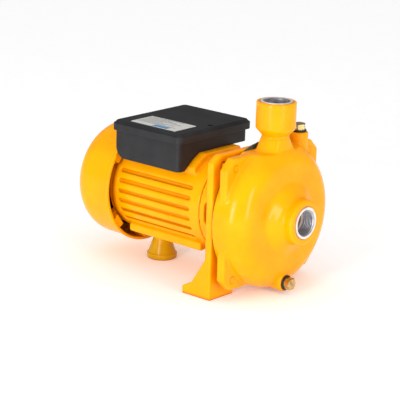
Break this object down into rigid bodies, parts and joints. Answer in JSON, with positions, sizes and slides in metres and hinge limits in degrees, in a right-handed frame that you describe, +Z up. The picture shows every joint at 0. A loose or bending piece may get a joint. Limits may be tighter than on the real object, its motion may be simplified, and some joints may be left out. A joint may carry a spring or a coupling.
{
  "type": "centrifugal water pump",
  "caption": "Close-coupled centrifugal water pump with electric motor, end suction and top discharge threaded ports, cast feet, terminal box and fan cover.",
  "frame": {"origin": "on the floor plane, midway between the two foot bolt holes", "axes": "+X along the shaft out of the suction port, +Z up out of the discharge port, +Y to the side of the fill plug"},
  "size_m": [0.3264, 0.18, 0.2364],
  "materials": {
    "bearing_steel": "polished bearing steel",
    "beige_plastic": "off-white moulded plastic",
    "black_plastic": "charcoal moulded plastic with fine grain",
    "black_rubber": "black moulded rubber",
    "brass": "machined brass",
    "carbon": "pressed carbon",
    "cast_aluminium": "die cast aluminium",
    "ceramic_white": "ground alumina ceramic",
    "copper_enamel": "enamelled copper wire",
    "fan_plastic": "black moulded plastic",
    "gasket_fibre": "dark green-grey fibre gasket",
    "nameplate_foil": "printed silver foil",
    "olive_paint": "duller olive yellow paint on the rear foot",
    "port_steel": "pale machined stainless steel",
    "shaft_steel": "ground stainless steel",
    "silicon_steel": "stacked electrical steel",
    "yellow_paint": "glossy golden yellow enamel over cast iron and sheet steel",
    "zinc_steel": "zinc plated steel fasteners"
  },
  "bodies": {
    "pump_body": {"box_screws": "zinc_steel", "bracket": "yellow_paint", "cable_gland": "black_plastic", "capacitor_clip": "zinc_steel", "casing_bolt_washers": "yellow_paint", "casing_bolts": "yellow_paint", "casing_gasket": "gasket_fibre", "discharge_insert": "port_steel", "drain_plug_seal": "black_rubber", "earth_screw": "brass", "fan_cover": "yellow_paint", "fan_cover_screws": "zinc_steel", "fill_plug_seal": "black_rubber", "front_bearing_outer_ring": "bearing_steel", "gland_cap": "black_plastic", "gland_locknut": "black_plastic", "gland_seal": "black_rubber", "lid_gasket": "black_rubber", "lid_screw": "zinc_steel", "motor_housing": "yellow_paint", "nameplate": "nameplate_foil", "pump_casing": "yellow_paint", "rear_bearing_outer_ring": "bearing_steel", "rear_foot": "olive_paint", "rear_foot_screw": "zinc_steel", "rear_shield": "yellow_paint", "run_capacitor": "beige_plastic", "seal_seat": "ceramic_white", "seal_seat_cup": "black_rubber", "stator_core": "silicon_steel", "stator_windings": "copper_enamel", "suction_insert": "port_steel", "terminal_block": "black_plastic", "terminal_box": "black_plastic", "terminal_box_lid": "black_plastic", "terminal_screws": "zinc_steel", "tie_rods": "zinc_steel", "wave_washer": "zinc_steel"},
    "rotor": {"shaft": "shaft_steel", "impeller": "brass", "impeller_key": "zinc_steel", "impeller_washer": "zinc_steel", "impeller_nut": "zinc_steel", "seal_face": "carbon", "seal_bellows": "black_rubber", "seal_spring": "zinc_steel", "slinger": "black_rubber", "rotor_core": "silicon_steel", "rotor_cage": "cast_aluminium", "front_bearing_inner_ring": "bearing_steel", "rear_bearing_inner_ring": "bearing_steel", "fan": "fan_plastic", "fan_clip": "zinc_steel"},
    "front_ball_set": {"front_bearing_balls": "bearing_steel", "front_bearing_cage": "brass"},
    "rear_ball_set": {"rear_bearing_balls": "bearing_steel", "rear_bearing_cage": "brass"},
    "fill_plug_body": {"fill_plug": "brass"},
    "drain_plug_body": {"drain_plug": "brass"}
  },
  "joints": [
    {"name": "rotor_spin", "type": "hinge", "parent": "pump_body", "child": "rotor", "pos_m": [0, 0, 0.0955], "axis": [1, 0, 0], "continuous": true},
    {"name": "front_ball_set_spin", "type": "hinge", "parent": "pump_body", "child": "front_ball_set", "pos_m": [0, 0, 0.0955], "axis": [1, 0, 0], "continuous": true},
    {"name": "rear_ball_set_spin", "type": "hinge", "parent": "pump_body", "child": "rear_ball_set", "pos_m": [0, 0, 0.0955], "axis": [1, 0, 0], "continuous": true},
    {"name": "fill_plug_lift", "type": "slide", "parent": "pump_body", "child": "fill_plug_body", "axis": [0, 0, 1], "range_m": [0, 0.02]},
    {"name": "drain_plug_draw", "type": "slide", "parent": "pump_body", "child": "drain_plug_body", "axis": [1, 0, 0], "range_m": [0, 0.02]}
  ],
  "couplings": [
    {"joint": "front_ball_set_spin", "follows": "rotor_spin", "ratio": 0.38},
    {"joint": "rear_ball_set_spin", "follows": "rotor_spin", "ratio": 0.38}
  ]
}
